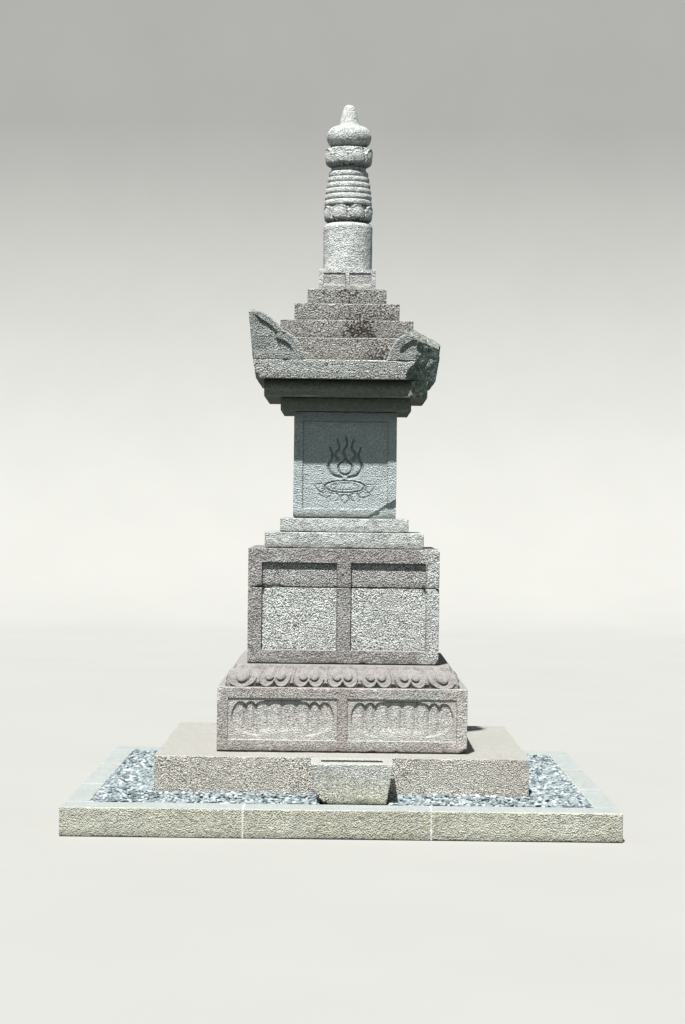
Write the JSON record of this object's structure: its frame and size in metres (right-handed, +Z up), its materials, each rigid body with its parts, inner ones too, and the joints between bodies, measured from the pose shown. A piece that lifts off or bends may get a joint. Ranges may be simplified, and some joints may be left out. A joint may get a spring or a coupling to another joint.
{
  "type": "stone pagoda",
  "caption": "Tall square stone pagoda in tiers, with a kerbed gravel bed, plinth, offering basin, carved panels, lotus band, stepped roof with corner ears, some broken, and a ringed finial.",
  "frame": {"origin": "on the ground at the middle of the plinth and the kerb", "axes": "+Z up the tower, +X to the right and -Y towards the viewer of the front, where the offering basin stands"},
  "size_m": [2.664, 2.6, 3.716],
  "materials": {
    "kerb_stone": "sawn pale grey speckled granite with white mortar joints",
    "gravel": "rounded blue-grey pebbles",
    "plinth_stone": "rough pinkish-beige stone with a paler weathered top",
    "basin_stone": "rough stone with pale grey-green lichen",
    "base_stone": "pitted pinkish-grey stone, lichen on the panels, pale worn edges",
    "body_stone": "pitted bluish-grey stone",
    "roof_stone": "pitted reddish-grey stone with dark moss streaks and lichen",
    "finial_stone": "pale grey speckled lichened stone"
  },
  "bodies": {
    "root": {"kerb_front_left": "kerb_stone", "kerb_front_middle": "kerb_stone", "kerb_front_right": "kerb_stone", "kerb_right_front": "kerb_stone", "kerb_right_middle": "kerb_stone", "kerb_right_back": "kerb_stone", "kerb_back_right": "kerb_stone", "kerb_back_middle": "kerb_stone", "kerb_back_left": "kerb_stone", "kerb_left_back": "kerb_stone", "kerb_left_middle": "kerb_stone", "kerb_left_front": "kerb_stone", "gravel_bed_front": "gravel", "gravel_bed_back": "gravel", "gravel_bed_left": "gravel", "gravel_bed_right": "gravel", "plinth_slab": "plinth_stone", "offering_basin": "basin_stone", "lower_box": "base_stone", "lotus_band": "base_stone", "base_lower_stone": "base_stone", "base_upper_stone": "base_stone", "step_lower": "base_stone", "step_upper": "base_stone", "body_block": "body_stone", "eave_step_lower": "roof_stone", "eave_step_upper": "roof_stone", "eave_slab": "roof_stone", "roof_step_1": "roof_stone", "roof_step_2": "roof_stone", "roof_step_3": "roof_stone", "roof_step_4": "roof_stone", "ear_back_right": "roof_stone", "ear_back_left": "roof_stone", "ear_front_left": "roof_stone", "ear_front_right": "roof_stone", "square_basin": "finial_stone", "dome": "finial_stone", "lower_lotus_cup": "finial_stone", "ring_shaft": "finial_stone", "upper_lotus_cup": "finial_stone", "jewel": "finial_stone"}
  },
  "joints": []
}
